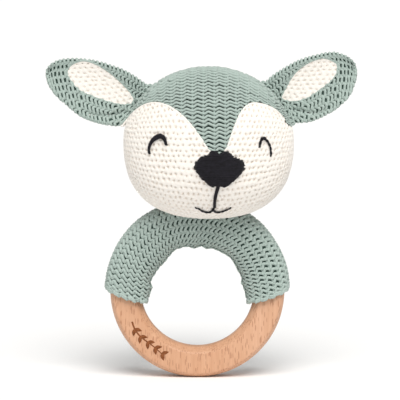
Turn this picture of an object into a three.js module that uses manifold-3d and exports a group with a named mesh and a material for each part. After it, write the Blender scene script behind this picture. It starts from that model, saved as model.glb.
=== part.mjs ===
// Knitted fawn teething ring: a beech ring in a knitted sleeve, with a stuffed, knitted
// fawn's head sewn on top of the sleeve. Millimetres, +Z up, the face looks along -Y.
import * as THREE from "three";
import { mergeVertices } from "three/addons/utils/BufferGeometryUtils.js";
import Module from "manifold-3d";

const wasm = await Module();
wasm.setup();

// Driving dimensions.
const GAP = 0.3; // between pieces that touch on the real object
const ORIGIN_SHIFT = [-1.65, 4.4, 0]; // ring centre's place over the middle of the footprint

const RING_OUTER = 35;
const RING_INNER = 22.7;
const RING_DEPTH = 11;
const RING_EDGE = 3.2; // rounding of the wood's edges
const RING_Z = RING_OUTER; // the ring stands on its lowest point

const SLEEVE_OUTER = 36.8;
const SLEEVE_INNER = 19.9;
const SLEEVE_DEPTH = 14.8;
const SLEEVE_EDGE = 6;
const HEM_OUTER_Z = 36.2; // height of the hem at the ring's outside
const HEM_INNER_Z = 30.2; // and at its opening

const HEAD_CENTRE = [4.5, -3, 94.5];
const HEAD_HALF = [34.2, 24.5, 30.4];
const MUZZLE = { x: 8.6, z: 82, reach: 2.6, spread: 13 };
const KNIT = 1.6; // thickness of the knitted cover
const NECK_RADIUS = 10; // hollow under the head that sits over the sleeve
const NECK_STITCHING = { halfWidth: 11, tilt: THREE.MathUtils.degToRad(48) };
const FACE_BACK_Y = 4; // the face panel ends here, just behind the cheeks
const CAPSULE = { outer: 11, wall: 1.2, lip: 0.5, lipHeight: 1.5 };
const BEAD_RADIUS = 1.7;
const BEAD_SPACING = 3.8; // between neighbours in their square of four
const BEAD_DROP = 4.5; // below the capsule's centre
const YARN = 0.45; // radius of the sewing yarn

const EAR_HALF_THICKNESS = 4;
const EAR_CUP = 2.5; // how far the ear's rim stands in front of its middle
const EAR_LINING_BACK = -1.5;
const EAR_LINING_SHRINK = 0.04; // the lining is this share smaller than the opening it fills
const EAR_ROOT = { y: 0, z: 109.5, halfDepth: 2.2, halfHeight: 6.5 }; // the yarn that sews it on
const NOSE_STAND = 1.3; // thickness of the satin-stitched nose
const THREAD_STAND = 0.15; // how far a thread stands off the knit, over the usual gap
const BEYOND = 50; // past the outside of every piece, for shapes that only cut

const green = { color: 0x96afa5, roughness: 0.95, metalness: 0 };
const cream = { color: 0xf6f0e8, roughness: 0.95, metalness: 0 };
const black = { color: 0x1a171c, roughness: 0.7, metalness: 0 };
const beech = { color: 0xdcab7f, roughness: 0.55, metalness: 0 };
const fibre = { color: 0xf2f2ee, roughness: 1, metalness: 0 };
const plastic = { color: 0xe8e8e2, roughness: 0.4, metalness: 0 };

const toy = new THREE.Group();
toy.position.set(...ORIGIN_SHIFT);

function addPiece(name, shape, finish) {
  const geometry = shape.isBufferGeometry ? shape : geometryOf(shape);
  const mesh = new THREE.Mesh(geometry, new THREE.MeshStandardMaterial(finish));
  mesh.name = name;
  toy.add(mesh);
}

// Booleans work on merged, closed meshes.
function solidOf(geometry) {
  const bare = geometry.clone();
  bare.deleteAttribute("normal");
  bare.deleteAttribute("uv");
  const merged = mergeVertices(bare, 1e-4);
  return new wasm.Manifold(
    new wasm.Mesh({
      numProp: 3,
      vertProperties: new Float32Array(merged.attributes.position.array),
      triVerts: new Uint32Array(merged.index.array),
    }),
  );
}

function geometryOf(solid) {
  const mesh = solid.getMesh();
  const geometry = new THREE.BufferGeometry();
  geometry.setAttribute("position", new THREE.BufferAttribute(mesh.vertProperties, 3));
  geometry.setIndex(new THREE.BufferAttribute(mesh.triVerts, 1));
  geometry.computeVertexNormals();
  return geometry;
}

// Moves every vertex of a geometry to the place that `place` gives it.
function reshaped(geometry, place) {
  const positions = geometry.attributes.position;
  const point = new THREE.Vector3();
  for (let i = 0; i < positions.count; i++) {
    point.fromBufferAttribute(positions, i);
    positions.setXYZ(i, ...place(point));
  }
  return geometry;
}

// A closed ring about the Y axis, at the wooden ring's centre, with a rounded section.
function roundedRing(inner, outer, depth, edge) {
  const half = depth / 2;
  const cornerSteps = 2;
  const corners = [
    [outer - edge, -half + edge, -90],
    [outer - edge, half - edge, 0],
    [inner + edge, half - edge, 90],
    [inner + edge, -half + edge, 180],
  ];
  const profile = corners.flatMap(([x, y, from]) =>
    Array.from({ length: cornerSteps + 1 }, (_, i) => {
      const angle = THREE.MathUtils.degToRad(from + (90 * i) / cornerSteps);
      return new THREE.Vector2(x + edge * Math.cos(angle), y + edge * Math.sin(angle));
    }),
  );
  profile.push(profile[0]);
  return new THREE.LatheGeometry(profile, 40).translate(0, 0, RING_Z);
}

// An outline in X and Z, extruded along Y from `fromY` to `toY`.
function prism(outline, fromY, toY) {
  const shape = new THREE.Shape(outline.map(([x, z]) => new THREE.Vector2(x, z)));
  const extruded = new THREE.ExtrudeGeometry(shape, { depth: toY - fromY, bevelEnabled: false });
  return solidOf(extruded.rotateX(Math.PI / 2).translate(0, toY, 0));
}

// A round bar along X through the middle of the sleeve's top.
const SLEEVE_TOP_Z = RING_Z + (SLEEVE_OUTER + SLEEVE_INNER) / 2;

function neckBar(radius) {
  const bar = new THREE.CylinderGeometry(radius, radius, 2 * BEYOND, 40);
  return solidOf(bar.rotateZ(Math.PI / 2).translate(0, 0, SLEEVE_TOP_Z));
}

function curveThrough(points, closed) {
  return new THREE.CatmullRomCurve3(points.map((p) => new THREE.Vector3(...p)), closed);
}

// A length of yarn with two cut ends.
function yarn(points, radius, steps) {
  const section = new THREE.Shape().absarc(0, 0, radius, 0, 2 * Math.PI);
  const extrudePath = curveThrough(points, false);
  const path = { steps, extrudePath, curveSegments: 3, bevelEnabled: false };
  return new THREE.ExtrudeGeometry(section, path);
}

// A loop of yarn, closed on itself.
function yarnLoop(points, radius, steps) {
  return new THREE.TubeGeometry(curveThrough(points, true), steps, radius, 6, true);
}

// The wooden ring.
addPiece("wooden_ring", roundedRing(RING_INNER, RING_OUTER, RING_DEPTH, RING_EDGE), beech);

// The knitted sleeve round the upper half of the ring, cut at its two slanting hems.
const hemSlope = (HEM_OUTER_Z - HEM_INNER_Z) / (SLEEVE_OUTER - SLEEVE_INNER);
const hemFarZ = HEM_OUTER_Z + hemSlope * (BEYOND - SLEEVE_OUTER);
const belowHems = prism(
  [
    [-BEYOND, -BEYOND],
    [BEYOND, -BEYOND],
    [BEYOND, hemFarZ],
    [SLEEVE_INNER, HEM_INNER_Z],
    [-SLEEVE_INNER, HEM_INNER_Z],
    [-BEYOND, hemFarZ],
  ],
  -BEYOND,
  BEYOND,
);
const sleeveBore = roundedRing(RING_INNER - GAP, RING_OUTER + GAP, RING_DEPTH + 2 * GAP, RING_EDGE);
const sleeveBody = solidOf(roundedRing(SLEEVE_INNER, SLEEVE_OUTER, SLEEVE_DEPTH, SLEEVE_EDGE));
addPiece("ring_sleeve", sleeveBody.subtract(solidOf(sleeveBore)).subtract(belowHems), green);

// The yarn that closes the sleeve along the inside of the ring.
const seamRadius = SLEEVE_INNER - YARN - GAP;
const seamArc = Array.from({ length: 9 }, (_, i) => {
  const angle = THREE.MathUtils.degToRad(-2 + (184 * i) / 8);
  return [seamRadius * Math.cos(angle), 0, RING_Z + seamRadius * Math.sin(angle)];
});
addPiece("sleeve_seam_yarn", yarn(seamArc, YARN, 28), green);

// The head's roundness: a plain ellipsoid on top, squarer towards the chin.
function headPower(height) {
  return 2.2 - 0.2 * THREE.MathUtils.clamp(height / 0.5, -1, 1);
}

// The head's surface, or one offset from it: fuller below than above, with a soft muzzle.
function headSurface(offset, rounds = 28, rows = 18) {
  const sphere = new THREE.SphereGeometry(1, rounds, rows).rotateX(Math.PI / 2);
  return reshaped(sphere, (d) => {
    const power = headPower(d.z);
    const sum = Math.abs(d.x) ** power + Math.abs(d.y) ** power + Math.abs(d.z) ** power;
    const reach = sum ** (-1 / power);
    const [x, y, z] = [d.x, d.y, d.z].map(
      (v, i) => HEAD_CENTRE[i] + reach * v * (HEAD_HALF[i] + offset),
    );
    const away = ((x - MUZZLE.x) ** 2 + (z - MUZZLE.z) ** 2) / MUZZLE.spread ** 2;
    const muzzle = d.y < 0 ? MUZZLE.reach * Math.exp(-away) * Math.min(1, -2 * d.y) : 0;
    return [x, y - muzzle, z];
  });
}

function headSolid(offset) {
  return solidOf(headSurface(offset)).subtract(neckBar(NECK_RADIUS - offset));
}

// How far forward the front of the head stands, for what is sewn on it.
function frontY(x, z, offset) {
  const u = Math.abs(x - HEAD_CENTRE[0]) / (HEAD_HALF[0] + offset);
  const w = (z - HEAD_CENTRE[2]) / (HEAD_HALF[2] + offset);
  const power = headPower(w);
  const v = Math.max(0, 1 - u ** power - Math.abs(w) ** power) ** (1 / power);
  const away = ((x - MUZZLE.x) ** 2 + (z - MUZZLE.z) ** 2) / MUZZLE.spread ** 2;
  return HEAD_CENTRE[1] - v * (HEAD_HALF[1] + offset) - MUZZLE.reach * Math.exp(-away);
}

// The same for the side of the head, where an ear stands on it.
function sideX(side, y, z, offset) {
  const v = Math.abs(y - HEAD_CENTRE[1]) / (HEAD_HALF[1] + offset);
  const w = (z - HEAD_CENTRE[2]) / (HEAD_HALF[2] + offset);
  return HEAD_CENTRE[0] + side * Math.sqrt(1 - v ** 2 - w ** 2) * (HEAD_HALF[0] + offset);
}

const cover = headSolid(0).subtract(headSolid(-KNIT));

// Cream cheeks and muzzle, below an outline that dips to the nose between the eyes.
function faceOutline(gap) {
  return [
    [-BEYOND, 101.5 + gap],
    [-30, 101.8 + gap],
    [-27, 105 + gap],
    [-21.4, 109.2 + gap],
    [-14.4, 109.6 + gap],
    [-10, 107.8 + gap],
    [-5.6, 104.2 + gap],
    [-1 + gap, 99],
    [4 + gap, 91.2],
    [11.6 - gap, 91.2],
    [14.4 - gap, 99],
    [16.2 - gap, 104],
    [18.4, 107.4 + gap],
    [21.4, 109.6 + gap],
    [26, 109.6 + gap],
    [31, 107.6 + gap],
    [35, 103.6 + gap],
    [38.4, 100.6 + gap],
    [BEYOND, 100.4 + gap],
    [BEYOND, BEYOND],
    [-BEYOND, BEYOND],
  ].reverse();
}
addPiece("face_panel", cover.intersect(prism(faceOutline(0), -BEYOND, FACE_BACK_Y)), cream);
const aboveFace = prism(faceOutline(GAP), -BEYOND, FACE_BACK_Y + GAP);
addPiece("crown_panel", cover.subtract(aboveFace), green);

// Fibre filling in two halves, pressed round the rattle capsule.
const capsulePocket = solidOf(
  new THREE.SphereGeometry(CAPSULE.outer + GAP, 20, 12).translate(...HEAD_CENTRE),
);
const filling = headSolid(-KNIT - GAP).subtract(capsulePocket);
const wholeHead = [
  [-BEYOND, 0],
  [BEYOND, 0],
  [BEYOND, 4 * BEYOND],
  [-BEYOND, 4 * BEYOND],
];
const frontHalf = prism(wholeHead, -BEYOND, HEAD_CENTRE[1] - GAP / 2);
const backHalf = prism(wholeHead, HEAD_CENTRE[1] + GAP / 2, BEYOND);
addPiece("head_filling_front", filling.intersect(frontHalf), fibre);
addPiece("head_filling_back", filling.intersect(backHalf), fibre);

// The rattle: two cups that meet at a stepped lip, and beads loose inside them. A cup's
// section runs up the inside wall, round the rim's step and back along the outside.
function capsuleCup(rimStep) {
  const { outer, wall } = CAPSULE;
  const inner = outer - wall;
  const rim = GAP / 2;
  const arc = (radius, from) =>
    Array.from({ length: 6 }, (_, i) => {
      const angle = from + ((Math.PI / 2 - from) * i) / 5;
      const across = i < 5 ? radius * Math.cos(angle) : 0;
      return new THREE.Vector2(across, radius * Math.sin(angle));
    });
  const insideRise = Math.max(0, rimStep[0][1]) + rim;
  const inside = arc(inner, Math.asin(insideRise / inner)).reverse();
  const outside = arc(outer, Math.asin(rim / outer));
  const step = rimStep.map(([x, z]) => new THREE.Vector2(x, z));
  return new THREE.LatheGeometry([...inside, ...step, ...outside], 16);
}
const capsuleInner = CAPSULE.outer - CAPSULE.wall;
const lipRadius = capsuleInner + CAPSULE.lip;
const lipBottom = GAP - CAPSULE.lipHeight;
const frontStep = [
  [capsuleInner, lipBottom],
  [lipRadius - GAP, lipBottom],
  [lipRadius - GAP, GAP / 2],
];
const backStep = [
  [capsuleInner, CAPSULE.lipHeight + GAP / 2],
  [lipRadius, CAPSULE.lipHeight + GAP / 2],
  [lipRadius, GAP / 2],
];
for (const [name, rimStep, halfTurn] of [
  ["rattle_capsule_front", frontStep, Math.PI],
  ["rattle_capsule_back", backStep, 0],
]) {
  const cup = capsuleCup(rimStep).rotateX(halfTurn).translate(...HEAD_CENTRE);
  addPiece(name, cup, plastic);
}
for (let i = 0; i < 4; i++) {
  const bead = new THREE.IcosahedronGeometry(BEAD_RADIUS, 1);
  const side = i % 2 ? BEAD_SPACING / 2 : -BEAD_SPACING / 2;
  const depth = i < 2 ? BEAD_SPACING / 2 : -BEAD_SPACING / 2;
  bead.translate(HEAD_CENTRE[0] + side, HEAD_CENTRE[1] + depth, HEAD_CENTRE[2] - BEAD_DROP);
  addPiece(`rattle_bead_${i + 1}`, solidOf(bead), plastic);
}

// Embroidery: a satin-stitched nose and single lines of thread for mouth and eyes.
const noseOutline = [
  [5.4, 90.8],
  [1, 88],
  [-1, 85.2],
  [-0.2, 82],
  [2.2, 79.4],
  [5.8, 77.3],
  [11.8, 77.3],
  [14.8, 79.4],
  [17.8, 82],
  [18.8, 84.8],
  [17.2, 87.6],
  [14.4, 89],
  [11.4, 90.8],
  [8.4, 90.2],
];
const nosePad = solidOf(headSurface(NOSE_STAND)).subtract(solidOf(headSurface(GAP)));
const noseColumn = prism([...noseOutline].reverse(), -BEYOND, HEAD_CENTRE[1]);
addPiece("nose_stitching", nosePad.intersect(noseColumn), black);

function threadLine(name, points, radius) {
  const stand = radius + GAP + THREAD_STAND;
  const route = points.map(([x, z]) => [x, frontY(x, z, 0) - stand, z]);
  addPiece(name, yarn(route, radius, 3 * points.length), black);
}
const threads = {
  lip_stitching: { radius: 0.55, route: [[8.4, 76.4], [7.8, 73.6], [6.9, 70.4]] },
  smile_stitching: {
    radius: 0.45,
    route: [[-1, 69.2], [1.8, 68.2], [6, 68.4], [10.6, 68.2], [13.6, 69.4]],
  },
  left_eye_stitching: {
    radius: 0.6,
    route: [[-19, 90.4], [-18.6, 93.4], [-14.6, 96.8], [-12, 93.6]],
  },
  right_eye_stitching: {
    radius: 0.5,
    route: [[24.6, 92], [25.9, 95.6], [27.9, 93.6], [28.8, 88.9]],
  },
};
for (const [name, { route, radius }] of Object.entries(threads)) {
  threadLine(name, route, radius);
}

// Ears: a green knitted leaf, cupped forwards, with a cream lining and thin wadding.
// The outline and the lining's edge are given in X and Z, anticlockwise seen from behind.
const ears = {
  left: {
    side: -1,
    outline: [
      [-60, 120], [-56, 126.6], [-46, 128], [-35, 125.8], [-26, 121],
      [-21.6, 117.4], [-26.6, 111], [-30.4, 103], [-40, 102.8], [-50, 108],
    ],
    lining: [
      [-52, 121.4], [-46, 125.6], [-41, 125.2], [-34.6, 121.6], [-29.6, 116.4],
      [-27.4, 112], [-34.6, 110.6], [-41, 112.6], [-47, 115.6],
    ],
  },
  right: {
    side: 1,
    outline: [
      [58, 110], [48, 103.6], [39.6, 103.4], [36, 111], [30.2, 118.4],
      [34, 123.6], [42.6, 128.2], [53, 130.8], [60.6, 127.6], [63, 120.6],
    ],
    lining: [
      [48.6, 114.6], [42.6, 111.8], [36.6, 113], [37.6, 118], [41, 124],
      [46.2, 127], [51, 127.6], [55.8, 125.2], [55.2, 121.6],
    ],
  },
};

function angleBetween(a, b) {
  return Math.abs(Math.atan2(Math.sin(a - b), Math.cos(a - b)));
}

function middleOf(outline) {
  return [0, 1].map((i) => outline.reduce((sum, point) => sum + point[i], 0) / outline.length);
}

// How far the rounded outline reaches from its middle at each angle.
function rimOf(outline, centre) {
  const corners = outline.map(([x, z]) => new THREE.Vector3(x - centre[0], 0, z - centre[1]));
  const curve = new THREE.CatmullRomCurve3(corners, true);
  const rim = curve.getPoints(72).map(({ x, z }) => ({
    angle: Math.atan2(z, x),
    reach: Math.hypot(x, z),
  }));
  return (angle) => {
    const away = ({ angle: other }) => angleBetween(other, angle);
    return rim.reduce((best, entry) => (away(entry) < away(best) ? entry : best)).reach;
  };
}

function earLeaf(centre, rimAt, inset) {
  const place = (d) => {
    const across = Math.hypot(d.x, d.z);
    const angle = Math.atan2(d.z, d.x);
    const reach = across * (rimAt(angle) - inset);
    const y = d.y * (EAR_HALF_THICKNESS - inset) - EAR_CUP * across ** 2 + EAR_CUP / 2;
    return [centre[0] + reach * Math.cos(angle), y, centre[1] + reach * Math.sin(angle)];
  };
  return solidOf(reshaped(new THREE.SphereGeometry(1, 22, 8), place));
}

for (const [name, { side, outline, lining }] of Object.entries(ears)) {
  const centre = middleOf(outline);
  const rimAt = rimOf(outline, centre);
  const shell = earLeaf(centre, rimAt, 0).subtract(earLeaf(centre, rimAt, KNIT));
  const liningEdge = (shrink) => lining.map((p) => p.map((v, i) => v + (centre[i] - v) * shrink));
  const opening = prism(liningEdge(0), -BEYOND, EAR_LINING_BACK);
  const patch = prism(liningEdge(EAR_LINING_SHRINK), -BEYOND, EAR_LINING_BACK);
  addPiece(`${name}_ear_back`, shell.subtract(opening), green);
  addPiece(`${name}_ear_lining`, shell.intersect(patch), cream);
  addPiece(`${name}_ear_wadding`, earLeaf(centre, rimAt, KNIT + GAP), fibre);
  const rootYarn = Array.from({ length: 8 }, (_, i) => {
    const angle = (2 * Math.PI * i) / 8;
    const y = EAR_ROOT.y + EAR_ROOT.halfDepth * Math.sin(angle);
    const z = EAR_ROOT.z + EAR_ROOT.halfHeight * Math.cos(angle);
    return [sideX(side, y, z, YARN + GAP + THREAD_STAND), y, z];
  });
  addPiece(`${name}_ear_root_yarn`, yarnLoop(rootYarn, YARN, 24), green);
}

// Yarn that sews the neck hollow to the top of the sleeve.
const neckArc = Array.from({ length: 12 }, (_, i) => {
  const angle = (2 * Math.PI * i) / 12;
  const tilt = NECK_STITCHING.tilt * Math.sin(angle);
  const radius = NECK_RADIUS - GAP - YARN;
  const x = NECK_STITCHING.halfWidth * Math.cos(angle);
  return [x, radius * Math.sin(tilt), SLEEVE_TOP_Z + radius * Math.cos(tilt)];
});
addPiece("neck_yarn", yarnLoop(neckArc, YARN, 40), green);

export default toy;
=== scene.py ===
# Knitted fawn teething ring: the finished look of every piece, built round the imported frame.
import math

import bmesh
import bpy
import mathutils
import numpy as np
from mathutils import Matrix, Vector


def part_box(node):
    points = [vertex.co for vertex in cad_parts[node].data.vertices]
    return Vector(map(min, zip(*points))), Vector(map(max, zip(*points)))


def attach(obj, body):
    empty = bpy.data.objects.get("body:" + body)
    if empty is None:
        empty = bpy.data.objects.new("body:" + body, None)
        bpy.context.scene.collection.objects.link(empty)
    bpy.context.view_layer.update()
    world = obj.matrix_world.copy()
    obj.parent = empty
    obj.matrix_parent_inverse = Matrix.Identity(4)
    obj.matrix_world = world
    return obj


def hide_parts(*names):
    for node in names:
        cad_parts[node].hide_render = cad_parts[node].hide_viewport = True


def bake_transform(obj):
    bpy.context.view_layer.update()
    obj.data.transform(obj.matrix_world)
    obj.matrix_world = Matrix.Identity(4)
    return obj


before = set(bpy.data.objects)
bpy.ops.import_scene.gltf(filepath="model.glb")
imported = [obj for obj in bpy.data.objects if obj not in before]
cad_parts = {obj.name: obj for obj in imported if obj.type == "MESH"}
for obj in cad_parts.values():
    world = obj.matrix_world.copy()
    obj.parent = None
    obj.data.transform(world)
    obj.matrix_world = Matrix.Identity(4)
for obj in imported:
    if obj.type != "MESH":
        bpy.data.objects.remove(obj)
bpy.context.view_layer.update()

# Camera and light: the toy stands on a pale floor and is seen from the front, a little from above.
# A broad soft light comes from above the camera, and the room around is white.
mm = 0.001
LOOK_DOWN = math.radians(6)
CAMERA_REACH = 1.2
VIEW_WIDTH = 160 * mm
VIEW_CENTRE = (-0.6 * mm, 0, 71.8 * mm)

lens = bpy.data.cameras.new("camera")
lens.sensor_width = 36
lens.lens = 36 * CAMERA_REACH / VIEW_WIDTH
camera = bpy.data.objects.new("camera", lens)
bpy.context.scene.collection.objects.link(camera)
camera.location = (
    VIEW_CENTRE[0],
    VIEW_CENTRE[1] - CAMERA_REACH * math.cos(LOOK_DOWN),
    VIEW_CENTRE[2] + CAMERA_REACH * math.sin(LOOK_DOWN),
)
camera.rotation_euler = (math.pi / 2 - LOOK_DOWN, 0, 0)
bpy.context.scene.camera = camera
bpy.context.scene.view_settings.view_transform = "Standard"


SUN_WAY = (-0.08, 0.56, -0.824)  # the way that the main light travels: back and down
SUN_SPREAD = math.radians(42)

sun = bpy.data.lights.new("window_light", "SUN")
sun.energy = 2.9
sun.angle = SUN_SPREAD
sun.color = (1.0, 0.985, 0.96)
sun_lamp = bpy.data.objects.new("window_light", sun)
bpy.context.scene.collection.objects.link(sun_lamp)
sun_lamp.rotation_euler = (math.acos(-SUN_WAY[2]), 0, math.atan2(-SUN_WAY[0], SUN_WAY[1]))

room = bpy.data.worlds.new("white_room")
room.use_nodes = True
room.node_tree.nodes["Background"].inputs["Color"].default_value = (1, 1, 1, 1)
room.node_tree.nodes["Background"].inputs["Strength"].default_value = 0.42
bpy.context.scene.world = room


def srgb(r, g, b):
    """A colour given in 0 to 255 steps, as the linear colour that shaders take."""
    shares = [c / 255 for c in (r, g, b)]
    return tuple(c / 12.92 if c < 0.04 else ((c + 0.055) / 1.055) ** 2.4 for c in shares) + (1,)


class Finish:
    """A node material that is written down from its surface back to its textures."""

    def __init__(self, name, roughness, sheen=0.0, specular=0.5, coat=0.0):
        self.material = bpy.data.materials.new(name)
        self.material.use_nodes = True
        self.tree = self.material.node_tree
        self.surface = self.tree.nodes["Principled BSDF"]
        self.surface.inputs["Roughness"].default_value = roughness
        self.surface.inputs["Sheen Weight"].default_value = sheen
        self.surface.inputs["Specular IOR Level"].default_value = specular
        self.surface.inputs["Coat Weight"].default_value = coat

    def node(self, kind, links=None, **settings):
        made = self.tree.nodes.new("ShaderNode" + kind)
        for key, value in settings.items():
            setattr(made, key, value)
        for socket, value in (links or {}).items():
            if isinstance(value, bpy.types.NodeSocket):
                self.tree.links.new(value, made.inputs[socket])
            else:
                made.inputs[socket].default_value = value
        return made

    def place(self, stretch=(1, 1, 1)):
        """Where a point lies on the toy, in metres, so that a grain keeps to the piece."""
        coords = self.node("TexCoord").outputs["Object"]
        return self.node("Mapping", {"Vector": coords, "Scale": stretch}).outputs["Vector"]

    def noise(self, scale, detail=3.0, stretch=(1, 1, 1), rough=0.5):
        links = {"Vector": self.place(stretch), "Scale": scale, "Detail": detail, "Roughness": rough}
        return self.node("TexNoise", links).outputs["Fac"]

    def ramp(self, factor, *stops):
        made = self.node("ValToRGB", {"Fac": factor})
        elements = made.color_ramp.elements
        while len(elements) < len(stops):
            elements.new(0.5)
        for element, (position, color) in zip(elements, stops):
            element.position = position
            element.color = color
        return made.outputs["Color"]

    def mix(self, factor, a, b):
        return self.node("MixRGB", {"Fac": factor, "Color1": a, "Color2": b}).outputs["Color"]

    def math(self, operation, a, b=0.0):
        return self.node("Math", {0: a, 1: b}, operation=operation).outputs["Value"]

    def bump(self, height, depth, strength):
        links = {"Height": height, "Distance": depth, "Strength": strength}
        return self.node("Bump", links).outputs["Normal"]

    def finish(self, color=None, normal=None, roughness=None):
        for socket, value in (("Base Color", color), ("Normal", normal), ("Roughness", roughness)):
            if value is not None:
                self.tree.links.new(value, self.surface.inputs[socket])
        return self.material


def mesh_piece(name, points, faces, finishes, corners_uv=None, face_finish=None, smooth=True):
    """A mesh object from arrays of points (in metres) and faces, with its materials."""
    mesh = bpy.data.meshes.new(name)
    mesh.from_pydata(np.asarray(points), [], np.asarray(faces) if isinstance(faces, np.ndarray) else faces)
    for finish in finishes:
        mesh.materials.append(finish)
    if corners_uv is not None:
        layer = mesh.uv_layers.new(name="yarn")
        layer.data.foreach_set("uv", np.asarray(corners_uv, np.float32).ravel())
    if face_finish is not None:
        mesh.polygons.foreach_set("material_index", np.asarray(face_finish, np.int32))
    mesh.polygons.foreach_set("use_smooth", np.full(len(mesh.polygons), smooth))
    mesh.update()
    piece = bpy.data.objects.new(name, mesh)
    bpy.context.scene.collection.objects.link(piece)
    return piece


def solid_piece(*args, **settings):
    """A closed mesh object, with its faces turned outwards."""
    piece = mesh_piece(*args, **settings)
    measure = bmesh.new()
    measure.from_mesh(piece.data)
    if measure.calc_volume(signed=True) < 0:
        piece.data.flip_normals()
    measure.free()
    return piece


floor_finish = Finish("pale_paper", 0.7)
floor_tone = floor_finish.ramp(floor_finish.noise(3), (0.3, srgb(247, 247, 247)), (0.7, srgb(252, 252, 252)))
FLOOR_HALF = 14.0
floor = mesh_piece(
    "floor",
    [(x, y, 0) for x, y in ((-1, -1), (1, -1), (1, 1), (-1, 1))],
    [(0, 1, 2, 3)],
    [floor_finish.finish(floor_tone)],
    smooth=False,
)
floor.scale = (FLOOR_HALF, FLOOR_HALF, 1)

# Wooden ring: one piece of beech, turned flat-faced with bevelled edges, sanded and left bare.
# The grain runs straight through it, so it shows long on the sides and short at the bottom.
ring_low, ring_high = (np.array(corner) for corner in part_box("wooden_ring"))
RING_CENTRE = (ring_low + ring_high) / 2
RING_OUTER = (ring_high[0] - ring_low[0]) / 2
RING_WIDTH = 12.3 * mm
RING_HALF_DEPTH = (ring_high[1] - ring_low[1]) / 2
RING_CORNERS = [(6.15, 2.9), (4.7, 5.5), (-3.8, 5.5), (-6.15, 2.4)]  # half its section: outward, deep
RING_SOFTENING = 0.8 * mm
RING_FACETS = 200


def grid_faces(rows, columns, round_rows=False, round_columns=False):
    """Quads over a grid of points, which may join its last row or column to its first."""
    last_row = rows if round_rows else rows - 1
    last_column = columns if round_columns else columns - 1
    r, c = np.meshgrid(np.arange(last_row), np.arange(last_column), indexing="ij")
    r2, c2 = (r + 1) % rows, (c + 1) % columns
    quads = np.stack([r * columns + c, r * columns + c2, r2 * columns + c2, r2 * columns + c], -1)
    return quads.reshape(-1, 4)


def softened(corners, softening, steps=5):
    """A closed outline with each corner sanded round, as points (across, deep)."""
    corners = np.array(corners)
    rounded = []
    for before, corner, after in zip(np.roll(corners, 1, 0), corners, np.roll(corners, -1, 0)):
        start = corner + softening * (before - corner) / np.linalg.norm(before - corner)
        end = corner + softening * (after - corner) / np.linalg.norm(after - corner)
        t = np.linspace(0, 1, steps)[:, None]
        rounded.append((1 - t) ** 2 * start + 2 * t * (1 - t) * corner + t**2 * end)
    return np.concatenate(rounded)


def turned_ring(section, radius, turns):
    """Points of a section carried round the ring's axis, which lies along Y."""
    angle = np.linspace(0, 2 * math.pi, turns, endpoint=False)[:, None]
    reach = radius + section[None, :, 0]
    deep = np.broadcast_to(section[None, :, 1], reach.shape)
    points = np.stack([reach * np.cos(angle), deep + 0 * angle, reach * np.sin(angle)], -1)
    return RING_CENTRE + points


beech = Finish("beech", 0.5, specular=0.35, coat=0.06)
broad_grain = beech.noise(70, 4, (1, 0.6, 0.2), 0.55)
fine_grain = beech.noise(900, 3, (1, 1, 0.07))
tone = beech.ramp(
    broad_grain, (0.3, srgb(196, 146, 112)), (0.5, srgb(206, 158, 125)), (0.72, srgb(214, 168, 137))
)
tone = beech.mix(0.25, tone, beech.ramp(fine_grain, (0.3, srgb(176, 124, 90)), (0.7, srgb(222, 180, 148))))
fleck_cells = beech.node(
    "TexVoronoi", {"Vector": beech.place((1, 1, 0.13)), "Scale": 1800.0, "Randomness": 1.0}
).outputs["Distance"]
flecks = beech.math("LESS_THAN", fleck_cells, beech.math("MULTIPLY", beech.noise(240, 2), 0.6))
tone = beech.mix(beech.math("MULTIPLY", flecks, 0.5), tone, srgb(146, 92, 60))
pores = beech.math("ADD", beech.math("MULTIPLY", flecks, -0.7), fine_grain)
worn = beech.ramp(beech.noise(60, 2), (0.3, (0.42, 0.42, 0.42, 1)), (0.7, (0.6, 0.6, 0.6, 1)))
beech_finish = beech.finish(tone, beech.bump(pores, 0.05 * mm, 0.5), worn)

back_corners = [(across, -deep) for across, deep in reversed(RING_CORNERS)]
ring_section = softened(np.array(RING_CORNERS + back_corners) * mm, RING_SOFTENING)
ring_points = turned_ring(ring_section, RING_OUTER - RING_WIDTH / 2, RING_FACETS)
ring_faces = grid_faces(RING_FACETS, len(ring_section), True, True)
beech_ring = solid_piece("beech_ring", ring_points.reshape(-1, 3), ring_faces, [beech_finish])
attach(beech_ring, "ring")
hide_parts("wooden_ring")

# Knitted sleeve: cotton yarn in purl stitch, a tube of courses that run round the ring's wood.
# Its edges are sewn together along the inside of the ring, and both ends are turned in as hems.
GREEN_YARN = srgb(184, 200, 193)
# The two dark colours after the yarn colours are painted shade: the sheets behind the knit take them, for
# the shadow seen between the stitches.
GREEN_PAINTED_SHADE = srgb(62, 80, 73)
CREAM_YARN = srgb(250, 246, 240)
CREAM_PAINTED_SHADE = srgb(182, 168, 156)
YARN_TWIST = 0.9 / mm  # turns of the yarn's plies for each metre
luck = np.random.default_rng(7)


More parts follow.
